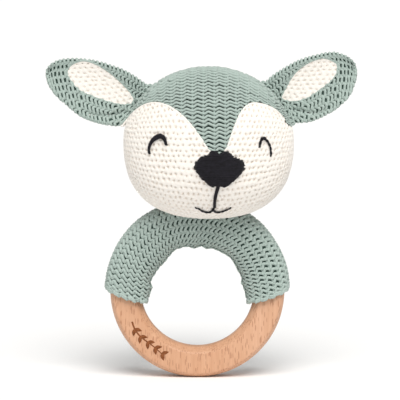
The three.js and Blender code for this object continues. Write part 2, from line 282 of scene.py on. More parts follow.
def yarn_finish(name, color, painted_shade, lift, plies=3, roughness=0.9, sheen=0.25):
    """Twisted cotton yarn: plies wind round the strand, with loose fibres and uneven dye, and painted shade
    in the grooves between the plies and in the stitch holes.
    """
    yarn = Finish(name, roughness, sheen=sheen, specular=0.2)
    along = yarn.node("SeparateXYZ", {0: yarn.node("UVMap", uv_map="yarn").outputs["UV"]}).outputs
    turn = yarn.math("ADD", yarn.math("MULTIPLY", along["X"], YARN_TWIST), along["Y"])
    ply = yarn.math("SINE", yarn.math("MULTIPLY", turn, 2 * math.pi * plies))
    ply = yarn.math("MULTIPLY", yarn.math("ADD", ply, 1.0), 0.5)
    fibre = yarn.noise(5200, 3)
    dye = yarn.noise(130, 3)
    tone = yarn.mix(yarn.math("MULTIPLY", dye, 0.5), color, lift)
    # Painted shade: the grooves between the plies are darkened towards the shade colour.
    tone = yarn.mix(yarn.math("MULTIPLY", yarn.math("SUBTRACT", 1.0, ply), 0.28), tone, painted_shade)
    tone = yarn.mix(yarn.math("MULTIPLY", fibre, 0.22), tone, painted_shade)
    height = yarn.math("ADD", ply, yarn.math("MULTIPLY", fibre, 0.8))
    # Painted shade: the holes between the stitches are darkened towards the shade colour, by the hole
    # attribute.
    hole = yarn.node("Attribute", attribute_name="hole").outputs["Fac"]
    tone = yarn.mix(hole, tone, painted_shade)
    return yarn.finish(tone, yarn.bump(height, 0.09 * mm, 0.8))


def painted_shade_finish(name, painted_shade):
    """The inner face of the knit, seen between the stitches, coloured in painted shade: darker than the
    yarn, for the shadow there.
    """
    inside = Finish(name, 1.0, specular=0.05)
    tone = inside.ramp(inside.noise(900, 2), (0.3, painted_shade), (0.8, tuple(0.8 * c for c in painted_shade[:3]) + (1,)))
    return inside.finish(tone, inside.bump(inside.noise(1500, 2), 0.1 * mm, 0.6))


# The second colour of each yarn is painted shade for the ply grooves and stitch holes; the third is a
# lighter dye tone that comes at random.
green_yarn = yarn_finish("green_yarn", GREEN_YARN, srgb(98, 116, 108), srgb(198, 213, 206))
cream_yarn = yarn_finish("cream_yarn", CREAM_YARN, srgb(232, 222, 210), srgb(253, 248, 243))
# Painted shade: dark sheet finishes for behind the knit, where the gaps between the stitches show only
# shadow.
green_painted_shade_finish = painted_shade_finish("green_painted_shade_finish", GREEN_PAINTED_SHADE)
cream_painted_shade_finish = painted_shade_finish("cream_painted_shade_finish", CREAM_PAINTED_SHADE)


def unit(v):
    return v / np.maximum(np.linalg.norm(v, axis=-1, keepdims=True), 1e-12)


class Yarns:
    """Collects strands of yarn as round tubes, then makes one mesh of them."""

    def __init__(self, sides=6):
        self.sides = sides
        self.points, self.faces, self.uvs, self.count = [], [], [], 0

    def lay(self, lines, outward, radius, flat=1.0):
        """Lays strands of (strands, points, 3), pressed against the piece below if flat is under 1."""
        lines = lines if lines.ndim == 3 else lines[None]
        outward = outward if outward.ndim == 3 else outward[None]
        strands, steps, _ = lines.shape
        radius = np.broadcast_to(np.asarray(radius, float), (strands, steps))
        along = unit(np.gradient(lines, axis=1))
        side = unit(np.cross(along, outward))
        up = np.cross(side, along)
        angle = 2 * math.pi * np.arange(self.sides) / self.sides
        spoke = flat * up[:, :, None] * np.cos(angle)[:, None] + side[:, :, None] * np.sin(angle)[:, None]
        rings = lines[:, :, None] + radius[:, :, None, None] * spoke
        base = self.count + np.arange(strands)[:, None, None] * steps * self.sides
        quads = grid_faces(steps, self.sides, round_columns=True)
        self.faces.append((base + quads).reshape(-1, 4))
        length = np.linalg.norm(np.diff(lines, axis=1), axis=2).cumsum(1)
        length = np.concatenate([np.zeros((strands, 1)), length], 1)
        u = length[:, quads // self.sides]
        corner = quads[:, :1] % self.sides + np.array([0, 1, 1, 0])
        v = np.broadcast_to(corner / self.sides, u.shape)
        self.uvs.append(np.stack([u, v], -1).reshape(-1, 2))
        for ring, flip in ((0, True), (steps - 1, False)):
            for j in range(1, self.sides - 1, 2):
                cap = ring * self.sides + np.array([0, j, j + 1, (j + 2) % self.sides])
                cap = cap[::-1] if flip else cap
                made = (base[:, 0, 0][:, None] + cap[None]).reshape(-1, 4)
                self.faces.append(made)
                self.uvs.append(np.zeros((4 * len(made), 2)))
        self.points.append(rings.reshape(-1, 3))
        self.count += strands * steps * self.sides

    def piece(self, name, finish, backing=None, backing_finish=None):
        """The mesh of all strands, with a backing of (points, quads) behind them if given."""
        finishes = [finish]
        index = np.zeros(sum(len(f) for f in self.faces), int)
        if backing is not None:
            points, quads = backing
            self.points.append(points)
            self.faces.append(quads + self.count)
            self.uvs.append(np.zeros((4 * len(quads), 2)))
            index = np.concatenate([index, np.ones(len(quads), int)])
            finishes.append(backing_finish)
        return mesh_piece(
            name,
            np.concatenate(self.points),
            np.concatenate(self.faces),
            finishes,
            np.concatenate(self.uvs),
            index,
        )


def surface_frames(grid, closed):
    """Outward normals of a grid of points (courses, steps, 3), and the way from each course to the next."""
    along = np.roll(grid, -1, 1) - np.roll(grid, 1, 1) if closed else np.gradient(grid, axis=1)
    across = np.gradient(grid, axis=0)
    normals = unit(np.cross(across, along))
    middle = grid.mean(1, keepdims=True) if closed else grid.mean((0, 1))
    return normals * np.sign((normals * (grid - middle)).sum(-1).mean()), unit(across)


class Knit:
    """Purl stitches over a grid: wavy courses, and the short legs that join each course to the next.

    swing is how far a course waves, as a share of the gap between courses, skew leans its waves over, ease
    lets it wander, and deep is how far the legs lie under it. A round piece may fix its stitch count.
    """

    STEPS = 8  # points on a strand for each stitch
    BULGE = 0.16  # how far a stitch stands out, as a share of the yarn

    def __init__(self, stitch, yarn, swing, leg_yarn, skew, ease, deep, round_count=None):
        self.stitch, self.yarn, self.swing, self.leg_yarn = stitch, yarn, swing, leg_yarn
        self.skew, self.ease, self.deep, self.round_count = skew, ease, deep, round_count

    def over(self, yarns, grid, closed=False, keep=None):
        """Lays the knit over a grid of (courses, points, 3), leaving out what keep turns down."""
        normals, ups = surface_frames(grid, closed)
        gaps = np.linalg.norm(np.gradient(grid, axis=0), axis=2)
        if closed:
            grid, normals, ups = (np.concatenate([a, a[:, :1]], 1) for a in (grid, normals, ups))
            gaps = np.concatenate([gaps, gaps[:, :1]], 1)
        usual = np.median(gaps)
        leg_rows, before = [], None
        for row in range(len(grid)):
            reach = np.concatenate([[0], np.linalg.norm(np.diff(grid[row], axis=0), axis=1).cumsum()])
            stitches = reach[-1] / self.stitch
            if closed:
                stitches = self.round_count or max(3, round(stitches))
            count = int(round(stitches * self.STEPS))
            first = 0 if closed else -((count + 1) // 2)
            middle = 0 if closed else reach[-1] / 2
            phase = (np.arange(count + 1) + first) / self.STEPS
            at = np.clip(middle + phase * reach[-1] / stitches, 0, reach[-1])

            def carried(values):
                return np.stack([np.interp(at, reach, v) for v in np.moveaxis(values, -1, 0)], 1)

            gap = np.interp(at, reach, gaps[row])
            point, normal, up = (carried(a[row]) for a in (grid, normals, ups))
            knots = np.arange(0, len(at) + self.STEPS, self.STEPS)
            uneven = np.interp(np.arange(len(at)), knots, 1 + 0.14 * luck.standard_normal(len(knots)))
            drift = np.interp(np.arange(len(at)), knots, self.ease * luck.standard_normal(len(knots)))
            wave = np.cos(2 * math.pi * (phase + self.skew * np.cos(2 * math.pi * phase)))
            line = point + up * (gap * (self.swing * wave * uneven + drift))[:, None]
            rise = np.cos(4 * math.pi * phase) - 1 + uneven
            line += normal * (self.yarn * self.BULGE * rise)[:, None]
            radius = self.yarn * np.clip(gap / usual, 0.45, 1.75) * (0.95 + 0.05 * uneven)
            shown = np.ones(len(line), bool) if keep is None else keep(line)
            cuts = np.flatnonzero(np.diff(np.concatenate([[0], shown.astype(int), [0]])))
            for start, end in zip(cuts[::2], cuts[1::2]):
                if end - start > 2:
                    yarns.lay(line[start:end], normal[start:end], radius[start:end][None])
            where = np.arange(math.floor(phase[0]), math.ceil(phase[-1])) + 0.5
            where = where[(where > phase[0]) & (where < phase[-1])]
            foot, facing, gap = (
                np.stack([np.interp(where, phase, v) for v in a.T], 1) for a in (line, normal, gap[:, None])
            )
            if before is not None:
                _, mine, theirs = np.intersect1d(where, before[0], return_indices=True)
                leg_rows.append((before[1][theirs], foot[mine], unit(facing[mine]), gap[mine, 0] / usual))
            before = (where, foot)
        starts, ends, facing, squeeze = (np.concatenate(a) for a in zip(*leg_rows))
        radii = self.leg_yarn * self.yarn * np.clip(squeeze, 0.45, 1.4)
        sunk = facing * (self.deep * radii)[:, None]
        legs = np.stack([starts - sunk, (starts + ends) / 2 - 0.7 * sunk, ends - sunk], 1)
        length = np.linalg.norm(legs[:, 2] - legs[:, 0], axis=1)
        sturdy = (length > 0.2 * mm) & (length < 3 * usual)
        if keep is not None:
            sturdy &= keep(legs[:, 1])
        legs, facing, radii = legs[sturdy], facing[sturdy], radii[sturdy]
        yarns.lay(legs, np.repeat(facing[:, None], 3, 1), np.repeat(radii[:, None], 3, 1))


SLEEVE_YARN = 0.62 * mm
SLEEVE_COURSES = 48
sleeve_low, sleeve_high = (np.array(corner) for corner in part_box("ring_sleeve"))
SLEEVE_OUTER = sleeve_high[0] - RING_CENTRE[0]
SLEEVE_INNER = 19.9 * mm
SLEEVE_HALF_DEPTH = (sleeve_high[1] - sleeve_low[1]) / 2
HEM_OUTER_ANGLE = math.radians(2.5)
HEM_INNER_ANGLE = math.radians(-13)
SLEEVE_PUCKERS = [  # the share of the way from right hem to left, and how many mm the seam draws it in
    (0, -0.9), (0.066, 0.5), (0.107, 1.5), (0.139, 0.7), (0.193, 1.2), (0.275, 0.8), (0.337, 1.3),
    (0.411, 1.3), (0.439, 2.2), (0.473, 1.3), (0.518, 2.5), (0.57, 1.1), (0.644, 0.5), (0.67, 1),
    (0.742, 2), (0.83, 1.1), (0.893, -0.1), (0.92, 1.1), (0.985, -0.5), (1, -0.9),
]


def sleeve_point(share, around, sink=0.0):
    """Points of the sleeve: share runs from right hem to left, around starts on the tube's outer side."""
    half_width = (SLEEVE_OUTER - SLEEVE_INNER) / 2 - sink
    half_depth = SLEEVE_HALF_DEPTH - sink
    c, s = np.cos(around), np.sin(around)
    power = 3.0 - 0.6 * np.exp(-(((share - 0.5) / 0.17) ** 2))  # rounder where the head sits on it
    reach = (np.abs(c) ** power + np.abs(s) ** power) ** (-1 / power)
    inward = np.clip(-c, 0, 1)
    pucker = np.interp(share, *np.array(SLEEVE_PUCKERS).T) * mm * inward**3
    lump = 0.22 * mm * np.sin(share * 17 + 2 * s) * np.cos(3 * around + share * 9)
    across = half_width * reach * c - pucker + (lump + 0.35 * mm) * c
    deep = half_depth * reach * s
    start = HEM_OUTER_ANGLE + (HEM_INNER_ANGLE - HEM_OUTER_ANGLE) * (1 - c) / 2
    angle = start + share * (math.pi - 2 * start)
    radius = (SLEEVE_OUTER + SLEEVE_INNER) / 2 + across
    return RING_CENTRE + np.stack([radius * np.cos(angle), deep + 0 * angle, radius * np.sin(angle)], -1)


def sleeve_grid(rows, steps, sink, first=0.0, last=1.0):
    share, around = np.meshgrid(
        np.linspace(first, last, rows), np.linspace(0, 2 * math.pi, steps, endpoint=False), indexing="ij"
    )
    return sleeve_point(share, around, sink)


sleeve_yarns = Yarns()
sleeve_knit = Knit(
    3.4 * mm, SLEEVE_YARN, swing=0.36, leg_yarn=0.75, skew=0.1, ease=0.04, deep=1.3, round_count=17
)
sleeve_knit.over(sleeve_yarns, sleeve_grid(SLEEVE_COURSES, 160, SLEEVE_YARN, 0.018, 0.982), closed=True)
for hem in (0.0, 0.006, 0.994, 1.0):
    turn = sleeve_grid(2, 120, SLEEVE_YARN * 0.7, hem, hem + 0.001)[0]
    turn = np.concatenate([turn, turn[:2]])
    swell = np.sin(np.arange(len(turn)) * 0.85) + 0.5 * np.sin(np.arange(len(turn)) * 1.9)
    facing = unit(turn - RING_CENTRE)
    along_ring = unit(np.cross(facing, [0, 1, 0]))
    sleeve_yarns.lay(turn + along_ring * (0.3 * mm * swell)[:, None], facing, SLEEVE_YARN)
# A backing sheet under the knit, in painted shade: its dark colour stands for the shadow seen through the
# gaps between the stitches.
sleeve_painted_shade_backing = sleeve_grid(60, 64, 1.35 * SLEEVE_YARN, 0.002, 0.998).reshape(-1, 3)
knitted_sleeve = sleeve_yarns.piece(
    "knitted_sleeve", green_yarn, (sleeve_painted_shade_backing, grid_faces(60, 64, round_columns=True)), green_painted_shade_finish
)
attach(knitted_sleeve, "sleeve")
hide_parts("ring_sleeve")

# Head: two knitted panels, front and back, sewn together over the top and down both sides, and
# stuffed. The front one changes from green to cream yarn along a line that dips to the nose.
HEAD_HALF = np.array([34.2, 24.5, 30.4]) * mm
MUZZLE_PLACE = np.array([8.6, 82]) * mm  # from the ring's centre line, and from the ground
MUZZLE_REACH = 2.6 * mm
MUZZLE_SPREAD = 13 * mm
NECK_RADIUS = 9.6 * mm
COURSE_STRETCH = 0.65  # the front's courses lie wider apart over the top and under the chin
BACK_STRETCH = 0.15
BACK_DROOP = 0.3  # how far the back's courses sag at the sides, as a share of the front's
CROWN_COURSE = 1.66 * mm
CROWN_STITCH = 4.3 * mm
CROWN_YARN = 0.56 * mm
FACE_COURSE = 2.1 * mm
FACE_STITCH = 2.07 * mm
crown_high = np.array(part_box("crown_panel")[1])
face_low, face_high = (np.array(corner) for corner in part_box("face_panel"))
HEAD_CENTRE = np.array(
    [(face_low[0] + face_high[0]) / 2, crown_high[1] - HEAD_HALF[1], crown_high[2] - HEAD_HALF[2]]
)
SEAM_Y = face_high[1]
MIDLINE = RING_CENTRE[0]
SIGHT_SLOPE = math.tan(LOOK_DOWN)


def head_fullness(points):
    """Below 1 inside the stuffed head, above 1 outside it."""
    p = np.array(points, float)
    q = (p - HEAD_CENTRE) / HEAD_HALF
    forward = unit(q)[..., 1]
    away = (p[..., 0] - MIDLINE - MUZZLE_PLACE[0]) ** 2 + (p[..., 2] - MUZZLE_PLACE[1]) ** 2
    push = MUZZLE_REACH * np.exp(-away / MUZZLE_SPREAD**2) * np.clip(-2 * forward, 0, 1)
    q[..., 1] += push / HEAD_HALF[1]
    power = (2.2 - 0.2 * np.clip(unit(q)[..., 2] / 0.5, -1, 1))[..., None]
    return (np.abs(q) ** power).sum(-1)


def out_of_head(points):
    """The way straight out of the head at points on it."""
    return unit((points - HEAD_CENTRE) / HEAD_HALF**2)


def cast_to_head(start, way):
    """The point where a line from inside the head comes out of it."""
    near, far = np.zeros(way.shape[:-1]), np.full(way.shape[:-1], 60 * mm)
    for _ in range(28):
        middle = (near + far) / 2
        inside = head_fullness(start + way * middle[..., None]) < 1
        near, far = np.where(inside, middle, near), np.where(inside, far, middle)
    return start + way * near[..., None]


def over_neck(points):
    """Lifts the underside of the head over the sleeve that it sits on."""
    x, y, z = np.moveaxis(points, -1, 0)
    deep = np.clip(1 - ((y - RING_CENTRE[1]) / NECK_RADIUS) ** 2, 0, 1) ** 0.5
    reach = (SLEEVE_OUTER + SLEEVE_INNER) / 2 + NECK_RADIUS * deep
    rise = np.clip(reach**2 - (x - MIDLINE) ** 2, 0, None) ** 0.5
    hollow = np.where(deep > 0, RING_CENTRE[2] + rise, 0)
    soft = 1.2 * mm
    lifted = np.where(z < HEAD_CENTRE[2], soft * np.logaddexp(z / soft, hollow / soft), z)
    return np.stack([x, y, lifted], -1)


def head_grid(course, columns, facing, sink):
    """Courses over one panel, a course apart on its middle line: facing is -1 in front, 1 behind."""
    start = np.array([HEAD_CENTRE[0], SEAM_Y, HEAD_CENTRE[2]])
    fine = np.radians(np.linspace(-89.5, 89.5, 400))
    line = cast_to_head(start, np.stack([0 * fine, facing * np.cos(fine), np.sin(fine)], -1))
    most = COURSE_STRETCH if facing < 0 else BACK_STRETCH
    stretch = 1 + most * np.clip((np.abs(fine[1:]) - 0.55) / 0.8, 0, 1) ** 2
    length = np.concatenate([[0], (np.linalg.norm(np.diff(line, axis=0), axis=1) / stretch).cumsum()])
    count = int(length[-1] / course)
    rises = np.interp((np.arange(count) + 0.5) * length[-1] / count, length, fine)[:, None]
    turn = np.radians(np.linspace(-90, 90, columns))[None]
    curve = (0.4 + 0.5 * np.sin(2 * np.abs(rises)) ** 2) * (1 if facing < 0 else BACK_DROOP)
    rise = np.arctan(np.tan(rises) * np.clip(np.cos(turn), 0.5, 1) ** curve)
    ways = np.stack([np.cos(rise) * np.sin(turn), facing * np.cos(rise) * np.cos(turn), np.sin(rise)], -1)
    points = cast_to_head(start, ways)
    outward = out_of_head(points)
    groove = 0.9 * mm * np.exp(-(((points[..., 1] - SEAM_Y) / (1.5 * mm)) ** 2))
    return over_neck(points - outward * (groove + sink)[..., None])


COLOUR_LINE = [
    (-45, 100.8), (-31, 101.2), (-29.8, 102), (-27.8, 104.4), (-24.8, 107.2), (-21.4, 109.2),
    (-17.8, 110), (-14.4, 109.6), (-10.2, 107.8), (-5.8, 104.4), (-2.2, 100.4), (1, 96), (4.2, 91.2),
    (7.8, 88), (11.4, 91.2), (13.4, 96.4), (15.6, 102.4), (18.2, 107.2), (21.4, 109.6), (25.8, 109.4),
    (30.6, 107.6), (34.2, 104.4), (37, 100.8), (50, 99),
]


def smooth_line(points, steps=8, closed=False):
    """A soft curve through the given points."""
    p = np.array(points, float)
    before, after = (p[-1:], p[:2]) if closed else (2 * p[:1] - p[1:2], 2 * p[-1:] - p[-2:-1])
    p = np.concatenate([before, p, after])
    t = np.linspace(0, 1, steps, endpoint=False)[:, None]
    spans = []
    for a, b, c, d in zip(p, p[1:], p[2:], p[3:]):
        bend = (2 * a - 5 * b + 4 * c - d) * t**2 + (3 * b - a - 3 * c + d) * t**3
        spans.append(0.5 * (2 * b + (c - a) * t + bend))
    return np.concatenate(spans if closed else [*spans, p[-2:-1]])


colour_line = smooth_line(COLOUR_LINE) * mm


def seen(points):
    """Where a point stands as seen from the camera: along X from the midline, and up."""
    up = points[..., 2] + SIGHT_SLOPE * (points[..., 1] - RING_CENTRE[1])
    return points[..., 0] - MIDLINE, up


def above_colour_line(points):
    across, up = seen(points)
    return up > np.interp(across, colour_line[:, 0], colour_line[:, 1])


def on_face(route, stand=0.0):
    """Puts points given as seen from the camera on the front of the head."""
    across, up = (np.array(v) * mm for v in np.array(route, float).T)
    deep = np.full(len(across), HEAD_CENTRE[1] - HEAD_HALF[1])
    for _ in range(12):
        height = up - SIGHT_SLOPE * (deep - RING_CENTRE[1])
        start = np.stack([across + MIDLINE, np.full(len(across), HEAD_CENTRE[1]), height], -1)
        found = cast_to_head(start, np.broadcast_to([0.0, -1.0, 0.0], start.shape))
        deep = found[:, 1]
    outward = out_of_head(found)
    return found + outward * stand, outward


crown_knit = Knit(CROWN_STITCH, CROWN_YARN, swing=0.3, leg_yarn=0.85, skew=0.07, ease=0.07, deep=1.2)
HOLE_DEPTH = 0.95 * mm
HOLE_RADIUS = 0.43 * mm


def place_tree(places):
    """A tree that finds the nearest of many places."""
    tree = mathutils.kdtree.KDTree(len(places))
    for number, place in enumerate(places):
        tree.insert(place, number)
    tree.balance()
    return tree


def fine_knit(name, grid, course, stitch, finish, keep, depth=HOLE_DEPTH):
    """A close knit over a dense grid of (rows, columns, 3): plump stitches, with holes between them."""
    rows, columns = grid.shape[:2]
    across = np.gradient(grid, axis=0)
    normals, _ = surface_frames(grid, False)
    down = np.concatenate([[0], np.linalg.norm(np.diff(grid, axis=0), axis=2).mean(1).cumsum()])
    lengths = np.linalg.norm(np.diff(grid, axis=1), axis=2).cumsum(1)
    lengths = np.concatenate([np.zeros((rows, 1)), lengths], 1)
    lengths -= lengths[:, columns // 2][:, None]
    holes, frames = [], []
    for k, at in enumerate(np.arange(course / 2, down[-1], course)):
        row = min(rows - 1, int(np.interp(at, down, np.arange(rows))))
        first, last = (int(end / stitch) for end in (lengths[row, 0], lengths[row, -1]))
        places = stitch * (np.arange(first, last + 1) + (0.5 if k % 2 else 0))
        places = places + luck.normal(0, 0.08 * stitch, len(places))
        slots = np.round(np.interp(places, lengths[row], np.arange(columns))).astype(int)
        slots = np.clip(slots, 1, columns - 2)
        upright = unit(across[row, slots])
        holes.append(grid[row, slots] + upright * luck.normal(0, 0.08 * course, len(slots))[:, None])
        lean = luck.normal(0, 0.5, len(slots))[:, None]
        along = unit(grid[row, slots + 1] - grid[row, slots - 1])
        frames.append(unit(along * np.sin(lean) + upright * np.cos(lean)))
    holes, frames = np.concatenate(holes), np.concatenate(frames)
    tree = place_tree(holes)
    flat_points, out = grid.reshape(-1, 3), normals.reshape(-1, 3)
    nearest = np.array([tree.find(point)[1] for point in flat_points])
    away = flat_points - holes[nearest]
    longways = (away * frames[nearest]).sum(1)
    sideways = np.sqrt(np.maximum((away**2).sum(1) - longways**2, 0))
    size = HOLE_RADIUS * (1 + 0.18 * np.sin(7.0 * nearest))
    hole = np.exp(-(((longways / (1.35 * size)) ** 2 + (sideways / (0.85 * size)) ** 2) ** 1.3))
    plump = 0.07 * mm * np.clip(np.hypot(longways, sideways) / (0.5 * stitch), 0, 1.3)
    sunk = np.broadcast_to(depth, (rows, columns)).ravel() * hole
    raised = flat_points + out * (plump - sunk)[:, None]
    quads = grid_faces(rows, columns)
    quads = quads[keep(flat_points[quads].mean(1))]
    a, b, c, d = flat_points[quads].transpose(1, 0, 2)
    if (np.cross(c - a, d - b) * out[quads[:, 0]]).sum() < 0:
        quads = quads[:, ::-1]
    used, quads = np.unique(quads, return_inverse=True)
    quads = quads.reshape(-1, 4)
    uv = np.stack([lengths, np.broadcast_to((down / course)[:, None], lengths.shape)], -1).reshape(-1, 2)
    piece = mesh_piece(name, raised[used], quads, [finish], uv[used][quads].reshape(-1, 2))
    # The hole attribute also drives painted shade: the yarn finish darkens the holes towards its shade
    # colour.
    layer = piece.data.attributes.new("hole", "FLOAT", "POINT")
    layer.data.foreach_set("value", hole[used].astype(np.float32))
    return piece


crown_yarns = Yarns()
crown_knit.over(crown_yarns, head_grid(CROWN_COURSE, 220, -1, CROWN_YARN), keep=above_colour_line)
knitted_crown = crown_yarns.piece("knitted_crown", green_yarn)
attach(knitted_crown, "head")
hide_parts("crown_panel")

knitted_face = fine_knit(
    "knitted_face",
    head_grid(0.27 * mm, 300, -1, 0.2 * mm),
    FACE_COURSE,
    FACE_STITCH,
    cream_yarn,
    lambda points: ~above_colour_line(points),
)
edge_yarn = Yarns()
colour_edge = [(x, z) for x, z in smooth_line(COLOUR_LINE, 12) if -31.2 < x < 33.5]
edge_line, edge_facing = on_face(colour_edge, -0.4 * mm)
edge_yarn.lay(edge_line, edge_facing, 0.5 * mm, 0.8)
colour_edging = edge_yarn.piece("colour_edging", cream_yarn)
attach(colour_edging, "head")
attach(knitted_face, "head")
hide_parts("face_panel")


def shell_piece(name, grid, finishes, choose=None, flip=False):
    """A sheet over a grid of points. Where choose says so, a face takes the second finish."""
    rows, columns = grid.shape[:2]
    quads = grid_faces(rows, columns)
    quads = quads[:, ::-1] if flip else quads
    points = grid.reshape(-1, 3)
    index = None if choose is None else choose(points[quads].mean(1)).astype(int)
    return mesh_piece(name, points, quads, finishes, face_finish=index)


# Backing sheets under the head's knit, in painted shade: cream under the face and green under the crown,
# dark for the shadow seen between the stitches.
front_painted_shade_backing = shell_piece(
    "front_painted_shade_backing",
    head_grid(0.7 * mm, 140, -1, 1.9 * CROWN_YARN),
    [cream_painted_shade_finish, green_painted_shade_finish],
    above_colour_line,
)
back_yarns = Yarns()
crown_knit.over(back_yarns, head_grid(CROWN_COURSE, 220, 1, CROWN_YARN))
knitted_back = back_yarns.piece("knitted_back", green_yarn)
# Painted shade: a dark green sheet under the back's knit, for the shadow seen between the stitches.
back_painted_shade_backing = shell_piece(
    "back_painted_shade_backing", head_grid(2 * mm, 70, 1, 1.9 * CROWN_YARN), [green_painted_shade_finish], flip=True
)
for piece in (front_painted_shade_backing, knitted_back, back_painted_shade_backing):
    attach(piece, "head")
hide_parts("crown_panel")


# Sleeve seam: one strand of the green yarn laces the sleeve's two edges together along the inside of
# the ring, and pulls the knit into small puckers.
SEAM_STITCH = 2.4 * mm
SEAM_YARN = 0.4 * mm
seam_shares = np.linspace(0.02, 0.98, int(0.96 * math.pi * SLEEVE_INNER / SEAM_STITCH) * 8)
lace = np.sin(np.arange(len(seam_shares)) * math.pi / 4)
seam_line = sleeve_point(seam_shares, math.pi + 0.16 * lace, -0.1 * mm)
seam_facing = unit(RING_CENTRE - seam_line) * np.array([1, 0, 1])
seam_yarns = Yarns(8)
seam_yarns.lay(seam_line, seam_facing, SEAM_YARN)
laced_seam = seam_yarns.piece("laced_seam", green_yarn)
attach(laced_seam, "sleeve")
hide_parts("sleeve_seam_yarn")

# Neck stitches: one loop of green cotton yarn, sewn in and out along the rim of the hollow under the
# head. It fastens the head to the top of the sleeve.
neck_low, neck_high = (np.array(corner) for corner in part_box("neck_yarn"))
NECK_STITCHES = 26
NECK_TILT = math.radians(48)
neck_turn = np.linspace(0, 2 * math.pi, NECK_STITCHES * 8)
neck_tilt = NECK_TILT * np.sin(neck_turn)
TUBE_HALF_WIDTH = (SLEEVE_OUTER - SLEEVE_INNER) / 2
NECK_FLATNESS = SLEEVE_HALF_DEPTH / (8.45 * mm)
neck_reach = TUBE_HALF_WIDTH + 0.45 * mm + 0.35 * mm * np.sin(NECK_STITCHES * neck_turn)
neck_line = np.stack(
    [
        (neck_low[0] + neck_high[0]) / 2 + (neck_high[0] - neck_low[0]) / 2 * np.cos(neck_turn),
        RING_CENTRE[1] + neck_reach * np.sin(neck_tilt) * NECK_FLATNESS,
        RING_CENTRE[2] + (SLEEVE_OUTER + SLEEVE_INNER) / 2 + neck_reach * np.cos(neck_tilt),
    ],
    1,
)
neck_yarns = Yarns(8)
neck_yarns.lay(neck_line, unit(neck_line - RING_CENTRE), SEAM_YARN)
neck_stitches = neck_yarns.piece("neck_stitches", green_yarn)
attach(neck_stitches, "sleeve")
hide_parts("neck_yarn")

# Embroidery: black cotton thread. The nose is filled with long satin stitches laid side by side, in
# three layers. The eyes and mouth are lines of a few twisted strands.
PLY_TWIST = 1.4 / mm  # turns of the thread's two plies for each metre
black = Finish("black_thread", 0.7, sheen=0.05, specular=0.2)
thread_along = black.node("SeparateXYZ", {0: black.node("UVMap", uv_map="yarn").outputs["UV"]}).outputs
thread_turn = black.math("MULTIPLY", thread_along["X"], PLY_TWIST)
thread_turn = black.math("ADD", thread_turn, thread_along["Y"])
thread_ply = black.math("SINE", black.math("MULTIPLY", thread_turn, 4 * math.pi))
thread_tone = black.ramp(black.noise(900, 3), (0.3, srgb(14, 12, 17)), (0.7, srgb(30, 28, 36)))
thread_height = black.math("ADD", thread_ply, black.noise(6000, 2))
black_thread = black.finish(thread_tone, black.bump(thread_height, 0.05 * mm, 0.7))

NOSE_OUTLINE = [
    (5.3, 90.3), (4, 88.8), (1.8, 88.2), (-0.3, 86.4), (-1.3, 83.9), (0.6, 81), (3.8, 77.9), (5.7, 76.4),
    (8.3, 77), (11.4, 76.6), (14.6, 79.2), (17.5, 82), (18.7, 84.6), (17.6, 86.8), (14.3, 88.2), (12, 90.4),
    (10.2, 90.4), (8.6, 89.5), (7.2, 90.4),
]
NOSE_THREAD = 0.34 * mm
NOSE_PLUMP = 0.9 * mm
NOSE_LAYERS = ((0.62, -0.04), (0.5, 0.03), (0.46, -0.02))  # mm from thread to thread, and their slope
NOSE_LAYER_STEP = 0.22 * mm


def crossings(outline, level):
    """Where a level line enters an outline and leaves it again, as pairs."""
    a, b = outline, np.roll(outline, -1, 0)
    hit = (a[:, 1] - level) * (b[:, 1] - level) < 0
    a, b = a[hit], b[hit]
    x = np.sort(a[:, 0] + (b[:, 0] - a[:, 0]) * (level - a[:, 1]) / (b[:, 1] - a[:, 1]))
    return list(zip(x[::2], x[1::2]))


nose_rim = smooth_line(NOSE_OUTLINE, 10, closed=True)
nose_middle = nose_rim.mean(0)
nose_reach = np.abs(nose_rim - nose_middle).max(0)
nose_yarns = Yarns(6)
nose_rows = [
    (layer, level, lean, ends)
    for layer, (spacing, lean) in enumerate(NOSE_LAYERS)
    for level in np.arange(nose_rim[:, 1].min() + 0.3, nose_rim[:, 1].max() - 0.2, spacing)
    for ends in crossings(nose_rim, level)
    if ends[1] - ends[0] > 1
]
for layer, level, lean, ends in nose_rows:
    left, right = ends[0] + 0.2 + luck.normal(0, 0.17), ends[1] - 0.2 + luck.normal(0, 0.17)
    x = np.linspace(left, right, 22)
    z = level + lean * (x - nose_middle[0]) + 0.1 * np.sin(x * 0.9 + layer) + luck.normal(0, 0.05)
    away = ((x - nose_middle[0]) / nose_reach[0]) ** 2 + ((z - nose_middle[1]) / nose_reach[1]) ** 2
    edge = np.clip(np.minimum(x - left, right - x) / 0.9, 0, 1)
    stand = NOSE_PLUMP * np.clip(1 - away, 0, 1) ** 0.7 + NOSE_LAYER_STEP * layer
    stand = stand * np.sqrt(edge) - 0.5 * mm * (1 - edge)
    route, facing = on_face(np.stack([x, z], 1), stand[:, None])
    nose_yarns.lay(route, facing, NOSE_THREAD)
satin_nose = nose_yarns.piece("satin_nose", black_thread)


THREAD_TWIST = 3.4 * mm
THREAD_TUCK = 0.5 * mm


def thread_line(name, route, thickness, strands, node):
    """Strands twisted round one another along a line on the face; thickness is given at its points."""
    middle = smooth_line(route, 14)
    width = np.interp(np.linspace(0, 1, len(middle)), np.linspace(0, 1, len(thickness)), thickness) * mm
    line, facing = on_face(middle, 0.3 * mm)
    along = unit(np.gradient(line, axis=0))
    side = unit(np.cross(along, facing))
    length = np.concatenate([[0], np.linalg.norm(np.diff(line, axis=0), axis=1).cumsum()])
    bundle = Yarns(8)
    for strand in range(strands):
        turn = 2 * math.pi * (length / THREAD_TWIST + strand / strands)
        spin = side * np.cos(turn)[:, None] + 0.5 * facing * np.sin(turn)[:, None]
        start, end = (np.clip(a / THREAD_TUCK, 0, 1) for a in (length, length[-1] - length))
        sink = facing * (0.7 * mm * (1 - start * end))[:, None]
        bundle.lay(line + spin * (0.27 * width)[:, None] - sink, facing, (0.3 * width)[None])
    piece = bundle.piece(name, black_thread)
    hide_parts(node)
    return piece


